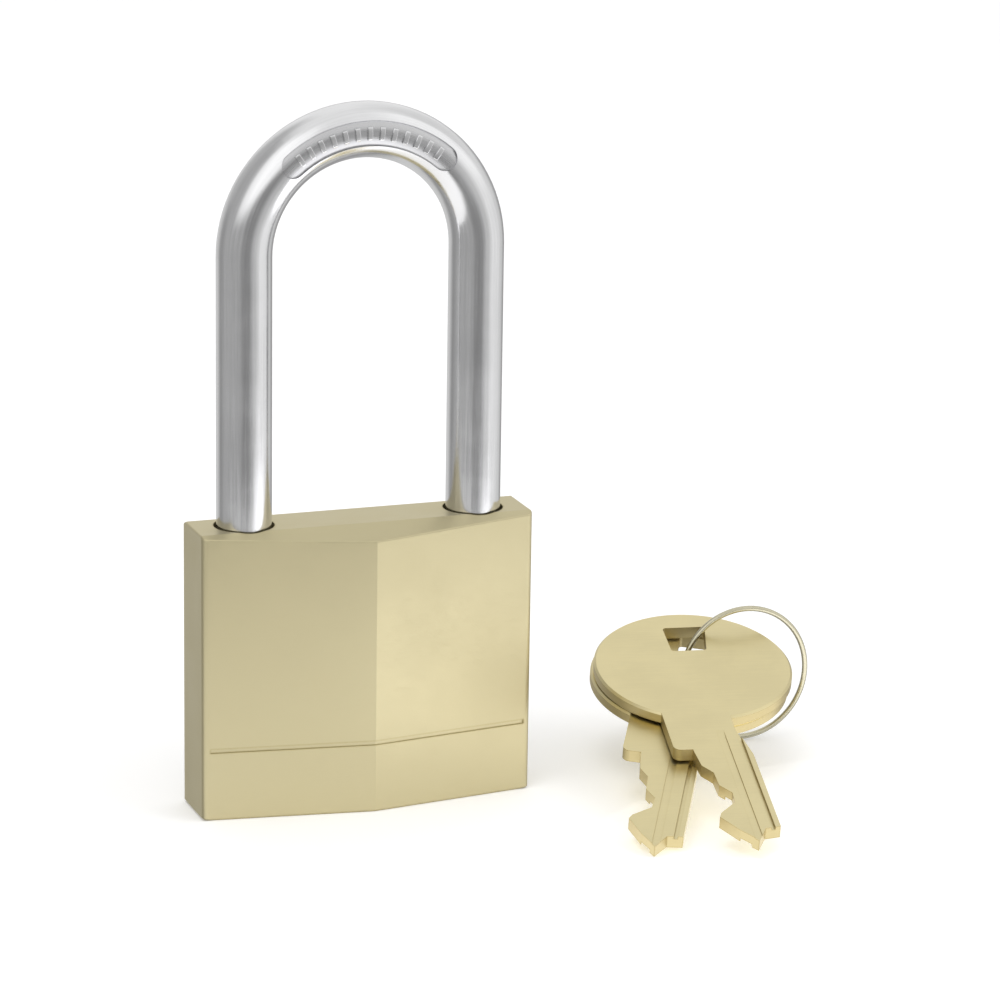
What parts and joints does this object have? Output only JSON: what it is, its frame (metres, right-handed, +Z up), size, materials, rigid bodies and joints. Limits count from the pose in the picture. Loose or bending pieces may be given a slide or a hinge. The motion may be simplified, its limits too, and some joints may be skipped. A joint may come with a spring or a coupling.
{
  "type": "padlock",
  "caption": "Long-shackle brass padlock with a ridged six-sided case, ball-locked steel shackle, turning cylinder, and cut keys on a wire ring.",
  "frame": {"origin": "centre of the padlock case's base", "axes": "+X towards the toe (releasing) leg of the shackle, -Y out of the case's front, +Z up along the shackle legs"},
  "size_m": [0.0792, 0.0481, 0.0817],
  "materials": {
    "case_brass": "satin brushed pale brass",
    "shackle_steel": "bright polished hardened steel",
    "key_brass": "pressed and milled brass",
    "ring_steel": "drawn wire",
    "plug_brass": "turned brass",
    "pin_brass": "turned brass",
    "hard_steel": "ground steel",
    "spring_steel": "drawn spring wire"
  },
  "bodies": {
    "case": {"case": "case_brass", "channel_plug": "case_brass", "plug_retaining_pin": "hard_steel", "shackle_retaining_pin": "hard_steel", "shackle_spring": "spring_steel", "chamber_cap_1": "case_brass", "chamber_cap_2": "case_brass", "chamber_cap_3": "case_brass", "chamber_cap_4": "case_brass", "driver_pin_1": "pin_brass", "driver_pin_2": "pin_brass", "driver_pin_3": "pin_brass", "driver_pin_4": "pin_brass", "pin_spring_1": "spring_steel", "pin_spring_2": "spring_steel", "pin_spring_3": "spring_steel", "pin_spring_4": "spring_steel"},
    "cylinder": {"plug": "plug_brass", "cam": "hard_steel", "key_pin_1": "pin_brass", "key_pin_2": "pin_brass", "key_pin_3": "pin_brass", "key_pin_4": "pin_brass"},
    "toe_ball": {"toe_ball": "hard_steel"},
    "heel_ball": {"heel_ball": "hard_steel"},
    "shackle": {"shackle": "shackle_steel"},
    "ring": {"key_ring": "ring_steel"},
    "key_front": {"key_front": "key_brass"},
    "key_back": {"key_back": "key_brass"}
  },
  "joints": [
    {"name": "plug_turn", "type": "hinge", "parent": "case", "child": "cylinder", "pos_m": [0, 0, 0], "axis": [0, 0, 1], "range_deg": [-90, 0]},
    {"name": "toe_ball_slide", "type": "slide", "parent": "case", "child": "toe_ball", "axis": [1, 0, 0], "range_m": [0, 0.00115]},
    {"name": "heel_ball_slide", "type": "slide", "parent": "case", "child": "heel_ball", "axis": [-1, 0, 0], "range_m": [0, 0.00115]},
    {"name": "shackle_lift", "type": "slide", "parent": "case", "child": "shackle", "axis": [0, 0, 1], "range_m": [0, 0.0125], "deforming": ["shackle_spring"]},
    {"name": "keys_lift", "type": "slide", "parent": "case", "child": "ring", "axis": [0, 0, 1], "range_m": [0, 0.08]},
    {"name": "key_front_swing", "type": "hinge", "parent": "ring", "child": "key_front", "pos_m": [0.04277, 0.005, 0.0135], "axis": [-0.0489, -0.2491, 0.9672], "range_deg": [-8, 8]},
    {"name": "key_back_swing", "type": "hinge", "parent": "ring", "child": "key_back", "pos_m": [0.04445, 0.00552, 0.01191], "axis": [-0.0489, -0.2491, 0.9672], "range_deg": [-10, 0]}
  ],
  "couplings": [
    {"joint": "toe_ball_slide", "follows": "plug_turn", "m_per_rad": -0.00073211},
    {"joint": "heel_ball_slide", "follows": "plug_turn", "m_per_rad": -0.00073211}
  ]
}
